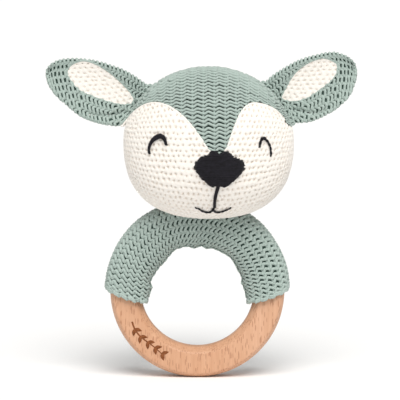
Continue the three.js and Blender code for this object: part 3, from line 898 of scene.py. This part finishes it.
EYE_LEFT = [
    (-18.8, 89.6), (-18.9, 91.4), (-18.6, 92.9), (-17.6, 94.7), (-16.2, 95.9), (-14.6, 96.5), (-13.4, 96.1),
    (-12.5, 94.6), (-12.2, 93),
]
EYE_RIGHT = [(24.4, 92), (24.7, 94.3), (25.8, 95.8), (27.4, 94.6), (28.6, 92.2), (28.9, 88.5)]
LIP = [(8.4, 77.6), (7.5, 74.4), (6.9, 71.3), (6.8, 68.2)]
SMILE_LEFT = [(-1, 68.4), (0.6, 68), (2, 67.1), (4, 66.6), (5.2, 66.8), (6.6, 67.9)]
SMILE_RIGHT = [(6.2, 67.9), (7.3, 66.7), (9.3, 66.8), (11.4, 67.5), (13.4, 68.4)]
EYE_LEFT_WIDTHS = (1.0, 1.1, 1.2, 1.5, 1.9, 2.0, 1.7, 1.2, 1.0)
EYE_RIGHT_WIDTHS = (0.8, 1.1, 1.3, 1.0, 0.9, 0.9)
left_eye = thread_line("left_eye_thread", EYE_LEFT, EYE_LEFT_WIDTHS, 3, "left_eye_stitching")
right_eye = thread_line("right_eye_thread", EYE_RIGHT, EYE_RIGHT_WIDTHS, 2, "right_eye_stitching")
lip = thread_line("lip_thread", LIP, (1.5, 1.3, 1.2, 1.1), 3, "lip_stitching")
smile_left = thread_line("smile_thread_left", SMILE_LEFT, (0.6, 0.8, 0.9, 0.9), 2, "smile_stitching")
smile_right = thread_line("smile_thread_right", SMILE_RIGHT, (0.9, 0.9, 0.8, 0.6), 2, "smile_stitching")
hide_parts("nose_stitching")
for piece in (satin_nose, left_eye, right_eye, lip, smile_left, smile_right):
    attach(piece, "head")

# Ears: flat knitted tubes, cupped forwards, with a cream lining knitted into the front of each. Their
# open ends are gathered and sewn to the sides of the head.
EAR_RIMS = {
    "left": {
        "upper": [
            (-6, 7.5), (-3.9, 8.6), (1.4, 10.5), (7.8, 12), (13.7, 12.3), (18.1, 12.2), (22.4, 11.7),
            (27, 10.6), (31.3, 9), (34.9, 6.6), (36.6, 3.6), (36.8, 2),
        ],
        "lower": [
            (-3, -4), (1, -8), (3.6, -10.4), (9.1, -11.5), (14.4, -11.7), (19.6, -11), (24.7, -8.9),
            (29.9, -6.6), (33.7, -3.7), (36, -0.4), (36.8, 2),
        ],
        "lining": [
            (29.4, 5.4), (27.8, 8.3), (24.5, 10.6), (20.5, 11), (16.1, 10.3), (11.1, 8.6), (5.9, 6.1),
            (2.2, 3.7), (0.4, 1.6), (1.6, -0.8), (6.3, -2), (10.6, -2.2), (18.1, -1.9), (22.4, -1.3),
            (25.2, 0.2), (28.3, 2.5),
        ],
        "crease": [(2, -3.3), (3.8, -5.1), (7.6, -7.2), (11.6, -8.5), (15.8, -9.1), (19.9, -9.1)],
    },
    "right": {
        "upper": [
            (-6, 9), (-3.1, 10.7), (0.6, 11.9), (4.3, 12.5), (9.7, 12.9), (14.9, 12.8), (21, 11.6),
            (26.9, 9.7), (30.5, 6.5), (32.3, 3.2), (32.6, 1),
        ],
        "lower": [
            (-3, -4), (-0.3, -8), (4.6, -10.7), (8.6, -11.7), (14.3, -11.9), (19.8, -11.2), (24.8, -9.5),
            (28.4, -6.7), (31.3, -3), (32.6, 1),
        ],
        "lining": [
            (0.6, 2.3), (4, 5.1), (7.9, 7.9), (11.7, 9.5), (16.2, 10.3), (20.2, 10), (23.2, 9.2),
            (25.7, 6.5), (26.8, 3.9), (24.5, 0.9), (21, -0.7), (16, -1.7), (10.5, -2.4), (7.3, -2),
            (3, -0.3),
        ],
        "crease": [(0.9, -3), (3.4, -4.3), (6.4, -6.5), (10, -9), (13.6, -9.8), (17.5, -9.7)],
    },
}
EAR_COURSE = 1.6 * mm
EAR_STITCH = 3.1 * mm
EAR_YARN = 0.58 * mm
EAR_HALF_THICK = 2.1 * mm
EAR_CUP = 3 * mm
EAR_CREASE_DEPTH = 1.9 * mm
EAR_WADDING_SINK = 1.35 * mm


class Ear:
    """One ear, flat in its own plane: along it from its root, across it, and cupped forwards."""

    def __init__(self, side, root, axis):
        self.side = side
        self.root = np.array([MIDLINE + root[0] * mm, RING_CENTRE[1], root[1] * mm])
        self.axis = np.array([axis[0], 0, axis[1]])
        self.up = np.array([-axis[1], 0, axis[0]]) * (1 if axis[0] > 0 else -1)
        self.upper, self.lower = (self.even(EAR_RIMS[side][rim]) for rim in ("upper", "lower"))
        self.lining = smooth_line(EAR_RIMS[side]["lining"], 6, closed=True) * mm
        self.crease = smooth_line(EAR_RIMS[side]["crease"], 10) * mm
        shares, turns = np.linspace(0, 1, 150), np.linspace(0.06, 2 * math.pi, 200)
        share, around = np.meshgrid(shares, turns, indexing="ij")
        self.skin = self.surface(share, around, EAR_YARN).reshape(-1, 3)
        self.on_front = (around < math.pi).ravel()
        self.tree = place_tree(self.skin)

    def even(self, rim, steps=160):
        """A rim line with its points an equal way apart."""
        line = smooth_line(rim, 12) * mm
        length = np.concatenate([[0], np.linalg.norm(np.diff(line, axis=0), axis=1).cumsum()])
        at = np.linspace(0, length[-1], steps)
        return np.stack([np.interp(at, length, line[:, 0]), np.interp(at, length, line[:, 1])])

    def flat(self, points):
        """How far points lie along the ear from its root, and across it."""
        return (points - self.root) @ self.axis, (points - self.root) @ self.up

    def surface(self, share, around, sink=0.0):
        """Points of the ear: share runs from root to tip, around runs from its upper rim over its front."""
        steps = np.linspace(0, 1, self.upper.shape[1])
        top_along, top_across = (np.interp(share, steps, v) for v in self.upper)
        low_along, low_across = (np.interp(share, steps, v) for v in self.lower)
        half = np.hypot(top_along - low_along, top_across - low_across) / 2
        c, s = np.cos(around), np.sin(around)
        rim_sink = sink / (1 + sink / (1.2 * mm))
        drawn_in = np.clip(1 - rim_sink / np.maximum(half, 0.1 * mm), 0.1, 1)
        reach = np.sign(c) * np.abs(c) ** 0.9 * drawn_in
        along = (top_along + low_along) / 2 + reach * (top_along - low_along) / 2
        along = along + 0.3 * half * share**2 * (1 - reach**2)
        across = (top_across + low_across) / 2 + reach * (top_across - low_across) / 2
        distance, ends = path_distance(along, across, self.crease)
        fold = EAR_CREASE_DEPTH * np.exp(-((distance / (1.0 * mm)) ** 2)) * np.clip(ends, 0, 1) * (s > 0)
        thick = EAR_HALF_THICK * np.clip(1 - share**6, 0.1, 1) ** 0.5
        deep = np.sign(s) * np.abs(s) ** 0.8 * (1 - sink / EAR_HALF_THICK) * (thick - fold)
        cup = EAR_CUP * np.interp(share, (0, 0.15, 0.4, 0.8, 1), (0.35, 0.8, 1, 0.8, 0.5))
        deep = deep + cup * (np.abs(c) ** 2.2 - 0.45)
        place = self.root + along[..., None] * self.axis + across[..., None] * self.up
        return place - np.array([0, 1, 0]) * deep[..., None]

    def grid(self, rows, steps, sink, last=1.0):
        """Rings of points round the ear, from its root to near its tip."""
        share, around = np.meshgrid(
            np.linspace(0, last, rows), np.linspace(0, 2 * math.pi, steps, endpoint=False), indexing="ij"
        )
        return self.surface(share, around, sink)

    def in_lining(self, points):
        """Whether points lie on the front, inside the lining's edge."""
        shape = points.shape[:-1]
        flat_points = points.reshape(-1, 3)
        along, across = self.flat(flat_points)
        inside = inside_outline(along, across, self.lining)
        front = np.zeros(len(inside), bool)
        for number in np.flatnonzero(inside):
            front[number] = self.on_front[self.tree.find(flat_points[number])[1]]
        return (inside & front).reshape(shape)

    def on_skin(self, route):
        """Points on the ear's front at places given along and across it."""
        along, across = self.flat(self.skin[self.on_front])
        near = np.hypot(along - route[:, :1], across - route[:, 1:]).argmin(1)
        return self.skin[self.on_front][near]


def path_distance(x, y, path):
    """How far points lie from a path, and 1 along it, falling to 0 past its ends."""
    gaps = np.hypot(x[..., None] - path[:, 0], y[..., None] - path[:, 1])
    nearest = gaps.argmin(-1)
    ends = np.minimum(nearest, len(path) - 1 - nearest) / (0.2 * len(path))
    return gaps.min(-1), ends


def inside_outline(x, y, outline):
    """Whether points lie inside a closed outline, by the times that a level line crosses it."""
    inside = np.zeros(x.shape, bool)
    for (x1, y1), (x2, y2) in zip(outline, np.roll(outline, -1, 0)):
        if y1 != y2:
            inside ^= ((y1 > y) != (y2 > y)) & (x < (x2 - x1) * (y - y1) / (y2 - y1) + x1)
    return inside


def closed_piece(name, grid, finish):
    """A closed body from rings of points, with its two open ends filled by fans."""
    rows, columns = grid.shape[:2]
    points = np.concatenate([grid.reshape(-1, 3), grid[0].mean(0)[None], grid[-1].mean(0)[None]])
    faces = [tuple(quad) for quad in grid_faces(rows, columns, round_columns=True)]
    first, last = rows * columns, rows * columns + 1
    for k in range(columns):
        after = (k + 1) % columns
        faces.append((first, after, k))
        faces.append((last, (rows - 1) * columns + k, (rows - 1) * columns + after))
    return solid_piece(name, points, faces, [finish])


fibre_stuff = Finish("loose_fibre", 1.0, sheen=0.4, specular=0.1)
fibre_strands = fibre_stuff.noise(1800, 5, (1, 1, 0.25), 0.7)
fibre_tone = fibre_stuff.ramp(fibre_strands, (0.3, srgb(214, 214, 208)), (0.7, srgb(246, 246, 242)))
loose_fibre = fibre_stuff.finish(fibre_tone, fibre_stuff.bump(fibre_strands, 0.4 * mm, 0.9))
ear_knit = Knit(EAR_STITCH, EAR_YARN, swing=0.36, leg_yarn=0.8, skew=0.1, ease=0.05, deep=1.2)
ears = [Ear("left", (-25.5, 110), (-0.953, 0.304)), Ear("right", (34, 110), (0.893, 0.451))]
for ear in ears:
    rim_length = np.linalg.norm(np.diff(ear.upper, axis=1), axis=0).sum()
    green = Yarns()
    ear_knit.over(
        green,
        ear.grid(int(rim_length / EAR_COURSE), 120, EAR_YARN, 0.975),
        closed=True,
        keep=lambda points: ~ear.in_lining(points),
    )
    rim_places = np.concatenate([ear.lining, ear.lining[:1]])
    rim = ear.on_skin(rim_places)
    rim = np.stack([np.convolve(np.pad(v, 2, mode="wrap"), np.ones(5) / 5, "valid") for v in rim[:-1].T], 1)
    rim = np.concatenate([rim, rim[:1]])
    green.lay(rim, np.tile([0.0, -1.0, 0.0], (len(rim), 1)), 0.42 * mm)
    knitted_ear = green.piece(f"knitted_{ear.side}_ear", green_yarn)
    # A closed backing sheet inside the ear's knit, in painted shade: dark for the shadow seen between the
    # stitches.
    back = ear.grid(60, 64, 1.3 * EAR_YARN, 0.995)
    ear_painted_shade_backing = closed_piece(f"{ear.side}_ear_backing", back, green_painted_shade_finish)
    front_share, front_around = np.meshgrid(
        np.linspace(0, 0.97, 170), np.linspace(0.02, math.pi - 0.02, 140), indexing="ij"
    )
    lining = fine_knit(
        f"{ear.side}_ear_cream_lining",
        ear.surface(front_share, front_around, 0.3 * mm),
        FACE_COURSE,
        FACE_STITCH,
        cream_yarn,
        ear.in_lining,
        0.45 * mm * np.sin(front_around),
    )
    wad = ear.grid(44, 48, EAR_WADDING_SINK, 0.95)
    ripple = luck.normal(0, 0.04 * mm, wad.shape)
    wadding = closed_piece(f"{ear.side}_ear_wadding_pad", wad + ripple, loose_fibre)
    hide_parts(f"{ear.side}_ear_wadding")
    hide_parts(f"{ear.side}_ear_back")
    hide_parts(f"{ear.side}_ear_lining")
    for piece in (knitted_ear, ear_painted_shade_backing, lining, wadding):
        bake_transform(piece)

# Ear stitches: loops of green cotton yarn, whipped round the root of each ear. They sew the ear's
# open end to the side of the head.
ROOT_STITCHES = 18
ROOT_YARN = 0.36 * mm
ROOT_REACH = 1.1 * mm
for ear in ears:
    whip = Yarns(8)
    shares = np.linspace(0.02, 0.5, 120)
    middles = ear.surface(shares[:, None], np.linspace(0, 2 * math.pi, 40)[None], 0.0).mean(1)
    for turn in np.linspace(0, 2 * math.pi, ROOT_STITCHES, endpoint=False) + 0.1:
        line = ear.surface(shares, np.full(len(shares), turn), 0.0)
        out = np.flatnonzero(head_fullness(line) > 1)
        if len(out) == 0 or out[0] == 0:
            continue
        meet = line[out[0]]
        spread = unit(meet - middles[out[0]])
        on_ear = meet + unit(line[out[0] + 4] - meet) * ROOT_REACH + spread * 0.1 * mm
        on_head = cast_to_head(HEAD_CENTRE, unit(meet + spread * ROOT_REACH - HEAD_CENTRE)[None])[0]
        outward = out_of_head(on_head)
        arch = (on_ear + on_head) / 2 + unit(spread + outward) * 0.45 * mm
        under_head, under_ear = on_head - outward * 0.8 * mm, on_ear - spread * mm
        route = np.array(smooth_line([under_head, on_head, arch, on_ear, under_ear], 5))
        whip.lay(route, np.repeat(unit(spread + outward)[None], len(route), 0), ROOT_YARN)
    stitches = whip.piece(f"{ear.side}_ear_stitches", green_yarn)
    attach(stitches, "head")
    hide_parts(f"{ear.side}_ear_root_yarn")

# Maker's mark: a small leafy sprig burned brown into the bare beech. It lies on the front face of the
# ring, at its lower left.
MARK_FROM, MARK_TO = math.radians(205), math.radians(243)
MARK_RADIUS = 28.9 * mm
MARK_LINE = 0.34 * mm
MARK_LEAVES = 5
LEAF_LENGTH = 3.1 * mm
LEAF_HALF_WIDTH = 0.72 * mm
char = Finish("burned_wood", 0.85, specular=0.15)
char_tone = char.ramp(char.noise(1500, 4), (0.3, srgb(104, 60, 34)), (0.7, srgb(146, 90, 56)))
burned_wood = char.finish(char_tone, char.bump(char.noise(2500, 3), 0.05 * mm, 0.6))


def on_wood(angle, radius):
    """A point on the ring's flat front face, at an angle round it and a distance from its centre."""
    x, z = radius * np.cos(angle), radius * np.sin(angle)
    return RING_CENTRE + np.stack([x, np.full(np.shape(angle), -RING_HALF_DEPTH), z], -1)


mark = Yarns(8)
facing = np.array([0.0, -1.0, 0.0])
stem_angle = np.linspace(MARK_FROM, MARK_TO, 40)
stem = on_wood(stem_angle, MARK_RADIUS + 0.5 * mm * np.sin(np.linspace(0, 2.2 * math.pi, 40)))
mark.lay(stem, np.tile(facing, (40, 1)), MARK_LINE * np.linspace(1.1, 0.6, 40)[None], 0.25)
leaf_share = np.linspace(0, 1, 12)
leaf_width = LEAF_HALF_WIDTH * np.sin(math.pi * leaf_share**0.8) + 0.04 * mm
for leaf in range(MARK_LEAVES):
    base_angle = MARK_FROM + (MARK_TO - MARK_FROM) * (leaf + 0.8) / (MARK_LEAVES + 0.2)
    base = np.array([np.interp(base_angle, stem_angle, v) for v in stem.T])
    outward = unit(base - RING_CENTRE) * np.array([1, 0, 1])
    onward = np.cross(outward, facing)
    onward = onward * np.sign(((stem[-1] - stem[0]) * onward).sum())
    for side in (-1, 1):
        tip = base + unit(onward + 0.9 * side * outward) * LEAF_LENGTH
        vein = base + (tip - base) * leaf_share[:, None]
        mark.lay(vein, np.tile(facing, (len(vein), 1)), leaf_width[None], 0.12)
burned_mark = mark.piece("burned_leaf_mark", burned_wood)
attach(burned_mark, "ring")

# Stuffing: two pads of loose polyester fibre, pressed into the head round the rattle, so that the knit
# is drawn tight. A pad fills the front half of the head and the other one the back.
PAD_DEPTH = 2.4 * mm
POCKET_RADIUS = 11.3 * mm
RATTLE_CENTRE = HEAD_CENTRE


def stuffing_pad(name, facing):
    """Half of the head's filling: its outside follows the knit, its flat side has a round pocket."""
    rise, turn = np.meshgrid(
        np.radians(np.linspace(-89, 89, 60)), np.radians(np.linspace(-89, 89, 80)), indexing="ij"
    )
    ways = np.stack([np.cos(rise) * np.sin(turn), facing * np.cos(rise) * np.cos(turn), np.sin(rise)], -1)
    outside = cast_to_head(HEAD_CENTRE, ways)
    fluff = luck.normal(0, 0.12 * mm, outside.shape[:2])[..., None]
    outside = over_neck(outside - unit(outside - HEAD_CENTRE) * (PAD_DEPTH + fluff))
    inside = RATTLE_CENTRE + ways * (POCKET_RADIUS + fluff)
    inside[..., 1] += facing * 0.15 * mm
    rows, columns = rise.shape
    quads = grid_faces(rows, columns)
    outer = quads if facing < 0 else quads[:, ::-1]
    shift = rows * columns
    rim = np.concatenate(
        [
            np.arange(columns),
            np.arange(1, rows) * columns + columns - 1,
            (rows - 1) * columns + np.arange(columns - 2, -1, -1),
            np.arange(rows - 2, 0, -1) * columns,
        ]
    )
    after = np.roll(rim, -1)
    wall = np.stack([after, rim, rim + shift, after + shift], -1)
    wall = wall if facing < 0 else wall[:, ::-1]
    points = np.concatenate([outside.reshape(-1, 3), inside.reshape(-1, 3)])
    faces = np.concatenate([outer, outer[:, ::-1] + shift, wall])
    return solid_piece(name, points, faces, [loose_fibre])


for name, facing in (("front", -1), ("back", 1)):
    pad = stuffing_pad(f"stuffing_{name}", facing)
    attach(pad, "head")
    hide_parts(f"head_filling_{name}")

# Rattle: two moulded plastic cups that snap together at a stepped lip, with four beads loose inside.
# They are turned shapes: the cups have a fine rib by the joint, and the beads a moulding line.
cup_low, cup_high = (np.array(corner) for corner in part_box("rattle_capsule_front"))
CUP_OUTER = (cup_high[0] - cup_low[0]) / 2
CUP_WALL = 1.2 * mm
CUP_LIP = 0.5 * mm
CUP_LIP_HEIGHT = 1.5 * mm
CUP_PLAY = 0.3 * mm
CUP_RIB = 0.15 * mm
CUP_POLE = math.pi / 2 - 0.002
BEAD_RADIUS = 1.7 * mm
BEAD_MOULDING = 0.05 * mm
BEAD_POLE = math.pi / 2 - 0.02
plastic = Finish("moulded_plastic", 0.4, specular=0.5)
plastic_tone = plastic.ramp(plastic.noise(160, 3), (0.3, srgb(226, 226, 219)), (0.7, srgb(240, 240, 234)))
plastic_worn = plastic.ramp(plastic.noise(420, 3), (0.3, (0.34, 0.34, 0.34, 1)), (0.7, (0.5, 0.5, 0.5, 1)))
moulded_plastic = plastic.finish(
    plastic_tone, plastic.bump(plastic.noise(2600, 2), 0.02 * mm, 0.5), plastic_worn
)


def turned_piece(name, profile, centre, finish, closes=True, steps=72):
    """A piece turned about the vertical: its profile closes on itself, or ends at two poles."""
    angle = np.linspace(0, 2 * math.pi, steps, endpoint=False)[:, None]
    radius, height = np.array(profile).T
    points = np.stack([radius * np.cos(angle), radius * np.sin(angle), height + 0 * angle], -1)
    if closes:
        faces = grid_faces(steps, len(profile), True, True)
        return solid_piece(name, (centre + points).reshape(-1, 3), faces, [finish])
    return closed_piece(name, centre + points.transpose(1, 0, 2), finish)


def arc(radius, start, end, steps):
    """Points of (radius, height) on an arc, from one angle to another."""
    angle = np.linspace(start, end, steps)
    return [(radius * math.cos(a), radius * math.sin(a)) for a in angle]


for name, lipped, up in (("front", True, -1), ("back", False, 1)):
    inner = CUP_OUTER - CUP_WALL
    joint = CUP_PLAY / 2
    if lipped:
        step = [
            (inner, CUP_PLAY - CUP_LIP_HEIGHT),
            (inner + CUP_LIP - CUP_PLAY, CUP_PLAY - CUP_LIP_HEIGHT),
            (inner + CUP_LIP - CUP_PLAY, joint),
        ]
    else:
        top = CUP_LIP_HEIGHT + joint
        step = [(inner, top), (inner + CUP_LIP, top), (inner + CUP_LIP, joint)]
    rise = math.asin(max(joint, step[0][1]) / inner)
    rib = [
        (CUP_OUTER - 0.05 * mm, joint + 0.05 * mm),
        (CUP_OUTER, 0.6 * mm),
        (CUP_OUTER - CUP_RIB, 0.9 * mm),
    ]
    outside = arc(CUP_OUTER - CUP_RIB, math.radians(7), CUP_POLE, 26)
    profile = arc(inner, CUP_POLE, rise, 26) + step + rib + outside
    profile = [(radius, up * height) for radius, height in profile]
    cup = turned_piece(f"rattle_cup_{name}", profile, RATTLE_CENTRE, moulded_plastic)
    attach(cup, "head")
    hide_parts(f"rattle_capsule_{name}")

for number in range(1, 5):
    low, high = (np.array(corner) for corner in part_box(f"rattle_bead_{number}"))
    side = arc(BEAD_RADIUS, -BEAD_POLE, BEAD_POLE, 25)
    side[len(side) // 2] = (BEAD_RADIUS + BEAD_MOULDING, 0)
    bead = turned_piece(f"round_bead_{number}", side, (low + high) / 2, moulded_plastic, False, 36)
    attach(bead, "beads")
    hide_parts(f"rattle_bead_{number}")
